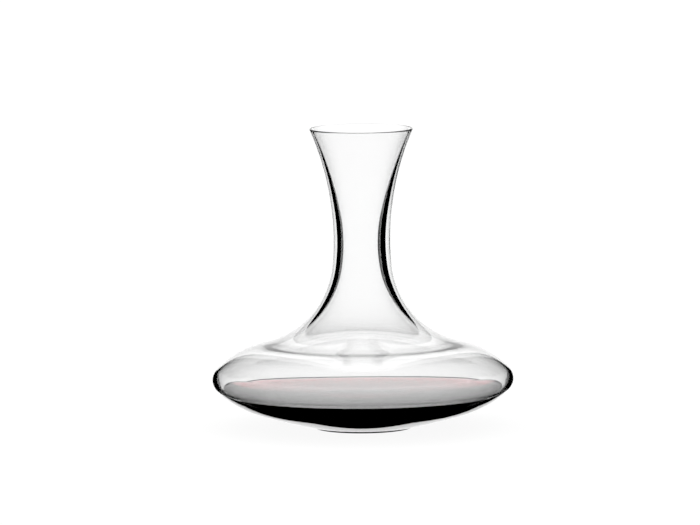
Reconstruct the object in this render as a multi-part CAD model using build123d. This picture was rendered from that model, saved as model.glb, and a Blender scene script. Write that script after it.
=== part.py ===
from build123d import *
from math import asin, degrees, radians, sin
import os

# Open wine decanter: one piece of blown clear glass, with the wine that stands in it.
# Millimetres, +Z up. The origin is the centre of the foot, on the surface that it stands on.
# The vessel is a body of revolution about Z, so each outline is drawn once, as (radius, height).

# Foot, on which the decanter stands
FOOT_R = 36.8            # outer radius of the flat ring that touches the table
FOOT_INNER_R = 27.0      # where the ring gives way to the hollow under the base
FOOT_HOLLOW = 1.0        # depth of that hollow at the axis

# Outside of the glass from the foot to the lip, as tangent arcs: (radius, turn in degrees).
# A positive turn bends towards the axis, and a negative one away from it.
OUTSIDE_ARCS = [
    (1.0, 60.0),         # rounded corner of the foot
    (0.7, -47.5),        # crease between the foot and the bowl
    (516.0, 5.2),        # nearly straight underside
    (73.5, 26.3),        # belly
    (9.8, 46.0),         # lower half of the bowl's rounded rim, at its widest
    (10.6, 45.5),        # upper half of that rim
    (78.5, 31.5),        # shoulder
    (67.5, -71.3),       # sweep from the shoulder up into the neck
    (187.0, -5.7),       # waist
    (213.5, -23.6),      # flare, up to the lip
]

# Inside of the glass, from the axis to the lip, in the same form
FLOOR_Z = 4.6            # inner floor at the axis
FLOOR_TURN = 16.8        # rise of the floor, from level at the axis to the belly
INSIDE_ARCS = [
    (66.6, 25.4),        # belly
    (8.3, 93.4),         # round the widest place
    (70.7, 33.5),        # underside of the shoulder
    (71.6, -69.7),       # sweep up into the neck
    (125.5, -18.8),      # waist
    (245.0, -16.4),      # flare, up to the lip
]
BELLY_START_R = 84.2     # where the floor's arc meets the belly's

# Wine
WINE_LEVEL = 29.0        # height of its surface
WINE_GAP = 0.05          # between the two solids, so that their round faces can't cross


def arc_chain(start, arcs):
    """Tangent arcs, one after another, that set off level and away from the axis."""
    edges = []
    point = Vector(*start)
    heading = Vector(1, 0)
    for radius, turn in arcs:
        edge = JernArc(point, heading, radius, turn)
        edges.append(edge)
        point = edge @ 1
        heading = edge % 1
    return edges


def inside_arcs(gap=0.0):
    """The inside's arcs, floor first. A gap sets them off into the hollow by that much."""
    floor_r = BELLY_START_R / sin(radians(FLOOR_TURN))
    arcs = [(floor_r, FLOOR_TURN)] + INSIDE_ARCS
    return [(radius - gap if turn > 0 else radius + gap, turn) for radius, turn in arcs]


def turned(outline):
    """The solid that an outline beside the axis sweeps in a full turn."""
    return revolve(Plane.XZ * make_face(outline), Axis.Z, 360)


def glass_vessel():
    """Bowl, neck and foot in one wall, thick at the waist and base and thin at the lip."""
    outside = arc_chain((FOOT_R, 0), OUTSIDE_ARCS)
    inside = arc_chain((0, FLOOR_Z), inside_arcs())
    lip = TangentArc(outside[-1] @ 1, inside[-1] @ 1, tangent=outside[-1] % 1)
    hollow_r = (FOOT_INNER_R**2 + FOOT_HOLLOW**2) / (2 * FOOT_HOLLOW)
    hollow_turn = degrees(asin(FOOT_INNER_R / hollow_r))
    hollow = JernArc((0, FOOT_HOLLOW), (1, 0), hollow_r, -hollow_turn)
    foot = Line(hollow @ 1, outside[0] @ 0)
    axis = Line((0, FOOT_HOLLOW), (0, FLOOR_Z))
    return turned([hollow, foot, *outside, lip, *inside, axis])


def wine():
    """The wine, from the floor of the bowl up to its level surface."""
    brim = arc_chain((0, FLOOR_Z + WINE_GAP), inside_arcs(WINE_GAP))[:3]
    top = (brim[-1] @ 1).Y
    column = turned([
        *brim,
        Line(brim[-1] @ 1, (0, top)),
        Line((0, top), (0, FLOOR_Z + WINE_GAP)),
    ])
    return split(column, Plane.XY.offset(WINE_LEVEL), keep=Keep.BOTTOM)


def main():
    os.makedirs("parts", exist_ok=True)
    export_step(glass_vessel(), "parts/glass_vessel.step")
    export_step(wine(), "parts/red_wine.step")


main()
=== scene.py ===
import math

import bmesh
import bpy
from mathutils import Matrix, Vector


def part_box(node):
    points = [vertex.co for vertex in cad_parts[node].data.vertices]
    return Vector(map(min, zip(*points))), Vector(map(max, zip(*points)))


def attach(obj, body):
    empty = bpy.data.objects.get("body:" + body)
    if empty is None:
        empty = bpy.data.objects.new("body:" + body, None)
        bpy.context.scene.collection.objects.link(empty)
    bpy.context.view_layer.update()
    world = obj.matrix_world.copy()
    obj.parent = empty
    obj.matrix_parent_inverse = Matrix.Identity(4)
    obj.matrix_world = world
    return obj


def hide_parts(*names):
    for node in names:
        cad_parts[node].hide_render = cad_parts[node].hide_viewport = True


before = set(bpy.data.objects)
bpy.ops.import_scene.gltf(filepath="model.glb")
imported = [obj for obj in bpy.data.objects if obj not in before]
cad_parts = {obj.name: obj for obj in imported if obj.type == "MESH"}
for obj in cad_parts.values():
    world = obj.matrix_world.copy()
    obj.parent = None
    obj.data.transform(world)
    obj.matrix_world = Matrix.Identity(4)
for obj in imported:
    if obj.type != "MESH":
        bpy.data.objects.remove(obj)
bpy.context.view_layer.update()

MM = 0.001

# ---- The vessel's outlines, as its CAD node has them -------------------------------------------
# Tangent arcs from the foot or the floor up to the lip: (radius in mm, turn in degrees). A positive
# turn bends towards the axis, and a negative one away from it.
FOOT_R = 36.8 * MM
FOOT_INNER_R = 27.0 * MM
FOOT_HOLLOW = 1.0 * MM
OUTSIDE_ARCS = [
    (1.0, 60.0),         # rounded corner of the foot
    (0.7, -47.5),        # crease between the foot and the bowl
    (516.0, 5.2),        # nearly straight underside
    (73.5, 26.3),        # belly
    (9.8, 46.0),         # lower half of the bowl's rounded rim
    (10.6, 45.5),        # upper half of that rim
    (78.5, 31.5),        # shoulder
    (67.5, -71.3),       # sweep from the shoulder up into the neck
    (187.0, -5.7),       # waist
    (213.5, -23.6),      # flare, up to the lip
]
FLOOR_Z = 4.6 * MM
FLOOR_TURN = 16.8
BELLY_START_R = 84.2         # in mm, where the floor's arc meets the belly's
INSIDE_ARCS = [
    (BELLY_START_R / math.sin(math.radians(FLOOR_TURN)), FLOOR_TURN),
    (66.6, 25.4),        # belly
    (8.3, 93.4),         # round the widest place
    (70.7, 33.5),        # underside of the shoulder
    (71.6, -69.7),       # sweep up into the neck
    (125.5, -18.8),      # waist
    (245.0, -16.4),      # flare, up to the lip
]
WAIST_Z = 140 * MM
BORE_LEAN = -0.5 * MM        # the bore's drift to one side at the waist, as blown necks have
BORE_LEAN_SPAN = 75 * MM     # how far above and below the waist it fades out

# ---- Fineness of the meshes --------------------------------------------------------------------
ROUND_STEPS = 224            # faces round the axis
STEP_TURN = 6.0              # the most that one step of an outline turns, in degrees
STEP_LENGTH = 2.0 * MM       # and the longest that it is
LIP_STEPS = 16
HOLLOW_STEPS = 12
MENISCUS_STEPS = 10
WELD = 1e-6

# ---- Wine --------------------------------------------------------------------------------------
WINE_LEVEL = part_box("red_wine")[1].z
WINE_OVERLAP = 0.15 * MM     # how far the wine reaches into the wall, so that no air shows between
MENISCUS_RISE = 0.3 * MM     # how far the wine climbs the glass
MENISCUS_R = 1.4 * MM
SURFACE_RINGS = (1.0 * MM, 4.0 * MM, 12.0 * MM, 40.0 * MM)     # in from the meniscus

# ---- Camera and studio -------------------------------------------------------------------------
CAMERA_RISE = math.radians(6.3)
CAMERA_DISTANCE = 5.5
CAMERA_LENS = 371.0
CAMERA_SENSOR = 36.0
CAMERA_REACH = 50.0
CAMERA_ROLL = math.radians(0.45)
AIM = Vector((-9.2 * MM, 0.0, 126.6 * MM))
BACKDROP_BEHIND = 0.36
BACKDROP_WIDTH = 0.345
BACKDROP_TOP = 1.2           # above the camera's aim
BACKDROP_BOTTOM = -0.25
BACKDROP_STRENGTH = 1.16
TABLE_GLOW = 0.93
TABLE_R = 0.6
TABLE_GAP = 0.05 * MM        # under the foot, so that the two faces don't share a plane
ROOM_STRENGTH = 1.05
LIGHT_BOUNCES = 24
GLOSSY_BOUNCES = 2           # more of them send stray light into the neck's dark edges


class Channel:
    """A shader socket that takes part in Python sums: each operator adds its Math node."""

    def __init__(self, shader, socket):
        self.shader = shader
        self.socket = socket

    def _math(self, operation, a, b):
        return self.shader.node("Math", {"operation": operation}, {0: a, 1: b})

    def __add__(self, other):
        return self._math("ADD", self, other)

    def __mul__(self, other):
        return self._math("MULTIPLY", self, other)

    __radd__ = __add__
    __rmul__ = __mul__


class Shader:
    """A material's nodes."""

    def __init__(self, name):
        self.material = bpy.data.materials.new(name)
        self.material.use_nodes = True
        self.tree = self.material.node_tree
        self.tree.nodes.clear()
        self.end = self.tree.nodes.new("ShaderNodeOutputMaterial")

    def node(self, kind, settings=None, inputs=None, output=0):
        """A new node: its settings first, then the values or links of its sockets."""
        node = self.tree.nodes.new("ShaderNode" + kind)
        for name, value in (settings or {}).items():
            setattr(node, name, value)
        for name, value in (inputs or {}).items():
            if isinstance(value, Channel):
                self.tree.links.new(value.socket, node.inputs[name])
            else:
                node.inputs[name].default_value = value
        return Channel(self, node.outputs[output])

    def finish(self, surface, volume=None):
        self.tree.links.new(surface.socket, self.end.inputs["Surface"])
        if volume:
            self.tree.links.new(volume.socket, self.end.inputs["Volume"])
        return self.material


# ---- Materials ---------------------------------------------------------------------------------

def blown_glass():
    """Clear glass, with the faint long waves that blowing and turning leave in it."""
    s = Shader("blown_glass")
    place = s.node("TexCoord", output="Object")
    drawn = s.node("Mapping", inputs={"Vector": place, "Scale": (1.0, 1.0, 0.35)})
    waves = s.node("TexNoise", inputs={"Vector": drawn, "Scale": 30.0, "Detail": 1.0})
    seeds = s.node("TexNoise", inputs={"Vector": place, "Scale": 900.0, "Detail": 2.0})
    relief = s.node("Bump", output="Normal", inputs={
        "Strength": 0.12,
        "Distance": 0.4 * MM,
        "Height": waves,
    })
    glass = s.node("BsdfPrincipled", inputs={
        "Base Color": (1.0, 1.0, 1.0, 1.0),
        "Roughness": seeds * 0.01,
        "IOR": 1.52,
        "Transmission Weight": 1.0,
        "Normal": relief,
    })
    tint = s.node("VolumeAbsorption", inputs={"Color": (0.93, 0.97, 0.96, 1.0), "Density": 4.0})
    return s.finish(glass, tint)


def red_wine():
    """Deep red wine: clear in a film, ruby in a thin layer and black in depth."""
    s = Shader("red_wine")
    place = s.node("TexCoord", output="Object")
    stir = s.node("TexNoise", inputs={"Vector": place, "Scale": 25.0, "Detail": 1.0})
    relief = s.node("Bump", output="Normal", inputs={
        "Strength": 0.02,
        "Distance": 0.2 * MM,
        "Height": stir,
    })
    wine = s.node("BsdfPrincipled", inputs={
        "Base Color": (1.0, 1.0, 1.0, 1.0),
        "Roughness": stir * 0.01,
        "IOR": 1.36,
        "Coat Weight": 0.5,
        "Transmission Weight": 1.0,
        "Normal": relief,
    })
    depth = s.node("VolumeAbsorption", inputs={"Color": (0.72, 0.03, 0.08, 1.0), "Density": 300.0})
    return s.finish(wine, depth)


def backdrop_white():
    s = Shader("backdrop_white")
    return s.finish(s.node("Emission", inputs={
        "Color": (1.0, 1.0, 1.0, 1.0),
        "Strength": BACKDROP_STRENGTH,
    }))


def table_paint():
    """Smooth white table top, lit from inside so that shadows on it stay faint."""
    s = Shader("table_paint")
    place = s.node("TexCoord", output="Object")
    speck = s.node("TexNoise", inputs={"Vector": place, "Scale": 300.0, "Detail": 3.0})
    paint = s.node("BsdfPrincipled", inputs={
        "Base Color": (0.1, 0.1, 0.1, 1.0),
        "Specular IOR Level": 0.0,
        "Roughness": 0.55 + speck * 0.2,
        "Emission Color": (1.0, 1.0, 1.0, 1.0),
        "Emission Strength": TABLE_GLOW,
    })
    return s.finish(paint)


# ---- Shapes ------------------------------------------------------------------------------------

def draw_arcs(bm, start, arcs, swell=0.0):
    """Tangent arcs in the XZ plane that set off level from start. swell moves them outwards."""
    vert = bm.verts.new(start)
    heading = 0.0
    for radius, turn in arcs:
        side = math.copysign(1.0, turn)
        radius = radius * MM + side * swell
        inward = Vector((-math.sin(heading), 0.0, math.cos(heading))) * side
        angle = math.radians(turn)
        steps = math.ceil(max(abs(turn) / STEP_TURN, radius * abs(angle) / STEP_LENGTH))
        arc = bmesh.ops.spin(
            bm, geom=[vert], cent=vert.co + inward * radius, axis=(0, -1, 0), angle=angle, steps=steps
        )
        vert = arc["geom_last"][0]
        heading += angle
    return vert


def turned_mesh(name, bm, material):
    """The outline in bm, turned round the axis into a closed, smooth mesh."""
    bmesh.ops.remove_doubles(bm, verts=bm.verts, dist=WELD)
    bmesh.ops.spin(
        bm, geom=bm.verts[:] + bm.edges[:], cent=(0, 0, 0), axis=(0, 0, 1),
        angle=math.tau, steps=ROUND_STEPS, use_merge=True,
    )
    bmesh.ops.remove_doubles(bm, verts=bm.verts, dist=WELD)
    bmesh.ops.recalc_face_normals(bm, faces=bm.faces)
    if bm.calc_volume(signed=True) < 0:
        bmesh.ops.reverse_faces(bm, faces=bm.faces)
    for face in bm.faces:
        face.smooth = True
    mesh = bpy.data.meshes.new(name)
    bm.to_mesh(mesh)
    bm.free()
    mesh.materials.append(material)
    piece = bpy.data.objects.new(name, mesh)
    bpy.context.scene.collection.objects.link(piece)
    return piece


def glass_vessel():
    """Bowl, neck and foot in one closed wall, with a rounded lip and a hollow under the base."""
    bm = bmesh.new()
    bore = bm.verts.layers.int.new("bore")
    inner_lip = draw_arcs(bm, (0, 0, FLOOR_Z), INSIDE_ARCS)
    for vert in bm.verts:
        vert[bore] = 1
    outer_lip = draw_arcs(bm, (FOOT_R, 0, 0), OUTSIDE_ARCS)
    middle = (outer_lip.co + inner_lip.co) / 2
    bmesh.ops.spin(
        bm, geom=[outer_lip], cent=middle, axis=(0, -1, 0), angle=math.pi, steps=LIP_STEPS
    )
    foot_edge = bm.verts.new((FOOT_R, 0, 0))
    foot_inner = bm.verts.new((FOOT_INNER_R, 0, 0))
    bm.edges.new((foot_edge, foot_inner))
    hollow_r = (FOOT_INNER_R**2 + FOOT_HOLLOW**2) / (2 * FOOT_HOLLOW)
    hollow_turn = math.asin(FOOT_INNER_R / hollow_r)
    bmesh.ops.spin(
        bm, geom=[foot_inner], cent=(0, 0, FOOT_HOLLOW - hollow_r), axis=(0, -1, 0),
        angle=hollow_turn, steps=HOLLOW_STEPS,
    )
    vessel = turned_mesh("glass_vessel_shell", bm, blown_glass())
    lean_bore(vessel.data)
    return vessel


def lean_bore(mesh):
    """Moves the inner wall sideways round the waist, fading out towards the lip and the bowl."""
    bm = bmesh.new()
    bm.from_mesh(mesh)
    bore = bm.verts.layers.int["bore"]
    for vert in bm.verts:
        up = (vert.co.z - WAIST_Z) / BORE_LEAN_SPAN
        if vert[bore] and abs(up) < 1:
            vert.co.x += BORE_LEAN * (1 - up * up) ** 2
    bm.to_mesh(mesh)
    bm.free()


def wine_body():
    """The wine, from the bowl's floor up to its level surface, which climbs the glass a little."""
    bm = bmesh.new()
    draw_arcs(bm, (0, 0, FLOOR_Z - WINE_OVERLAP), INSIDE_ARCS, WINE_OVERLAP)
    contact_z = WINE_LEVEL + MENISCUS_RISE
    cut = bmesh.ops.bisect_plane(
        bm, geom=bm.verts[:] + bm.edges[:], plane_co=(0, 0, contact_z), plane_no=(0, 0, 1),
        clear_outer=True,
    )
    contact = [v for v in cut["geom_cut"] if isinstance(v, bmesh.types.BMVert)][0]
    meniscus_turn = math.acos(1 - MENISCUS_RISE / MENISCUS_R)
    reach = MENISCUS_R * math.sin(meniscus_turn)
    centre = Vector((contact.co.x - reach, 0, WINE_LEVEL + MENISCUS_R))
    arc = bmesh.ops.spin(
        bm, geom=[contact], cent=centre, axis=(0, 1, 0), angle=meniscus_turn, steps=MENISCUS_STEPS
    )
    last = arc["geom_last"][0]
    for inset in (*SURFACE_RINGS, centre.x):
        step = bm.verts.new((centre.x - inset, 0, WINE_LEVEL))
        bm.edges.new((last, step))
        last = step
    return turned_mesh("red_wine_body", bm, red_wine())


# ---- Studio ------------------------------------------------------------------------------------

def studio_camera():
    data = bpy.data.cameras.new("camera")
    data.lens = CAMERA_LENS
    data.sensor_width = CAMERA_SENSOR
    data.clip_end = CAMERA_REACH
    camera = bpy.data.objects.new("camera", data)
    back = Vector((0, -math.cos(CAMERA_RISE), math.sin(CAMERA_RISE)))
    camera.matrix_world = (
        Matrix.Translation(AIM + back * CAMERA_DISTANCE)
        @ Matrix.Rotation(math.pi / 2 - CAMERA_RISE, 4, "X")
        @ Matrix.Rotation(-CAMERA_ROLL, 4, "Z")
    )
    bpy.context.scene.collection.objects.link(camera)
    bpy.context.scene.camera = camera
    return camera


def backdrop(camera):
    """A bright card behind the decanter, wherever the camera stands. Only the glass sees it."""
    bm = bmesh.new()
    bmesh.ops.create_grid(bm, x_segments=1, y_segments=1, size=0.5)
    bmesh.ops.scale(bm, vec=(BACKDROP_WIDTH, BACKDROP_TOP - BACKDROP_BOTTOM, 1), verts=bm.verts)
    centre = (-AIM.x, (BACKDROP_TOP + BACKDROP_BOTTOM) / 2, -(CAMERA_DISTANCE + BACKDROP_BEHIND))
    bmesh.ops.translate(bm, vec=centre, verts=bm.verts)
    piece = stage_piece("backdrop", bm, backdrop_white())
    piece.parent = camera
    piece.visible_camera = False
    piece.visible_diffuse = False


def table_top():
    """A pale table. The glass doesn't mirror it, so its underside stays dark."""
    bm = bmesh.new()
    bmesh.ops.create_circle(bm, cap_ends=True, segments=96, radius=TABLE_R)
    bmesh.ops.translate(bm, vec=(0, 0, -TABLE_GAP), verts=bm.verts)
    piece = stage_piece("table_top", bm, table_paint())
    piece.visible_glossy = False
    piece.visible_transmission = False


def stage_piece(name, bm, material):
    mesh = bpy.data.meshes.new(name)
    bm.to_mesh(mesh)
    bm.free()
    mesh.materials.append(material)
    piece = bpy.data.objects.new(name, mesh)
    bpy.context.scene.collection.objects.link(piece)
    return piece


def white_room():
    """Even soft light on the table and white behind it.

    The glass doesn't see the room. It sees only the backdrop, and darkness beyond it.
    """
    world = bpy.data.worlds.new("room")
    bpy.context.scene.world = world
    world.use_nodes = True
    background = world.node_tree.nodes["Background"]
    background.inputs["Color"].default_value = (1, 1, 1, 1)
    background.inputs["Strength"].default_value = ROOM_STRENGTH
    world.cycles_visibility.glossy = False
    world.cycles_visibility.transmission = False


def main():
    camera = studio_camera()
    backdrop(camera)
    table_top()
    white_room()

    vessel = glass_vessel()
    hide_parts("glass_vessel")
    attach(vessel, "root")

    wine = wine_body()
    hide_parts("red_wine")
    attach(wine, "root")

    scene = bpy.context.scene
    scene.view_settings.view_transform = "Standard"
    scene.cycles.max_bounces = LIGHT_BOUNCES
    scene.cycles.transmission_bounces = LIGHT_BOUNCES
    scene.cycles.glossy_bounces = GLOSSY_BOUNCES


main()
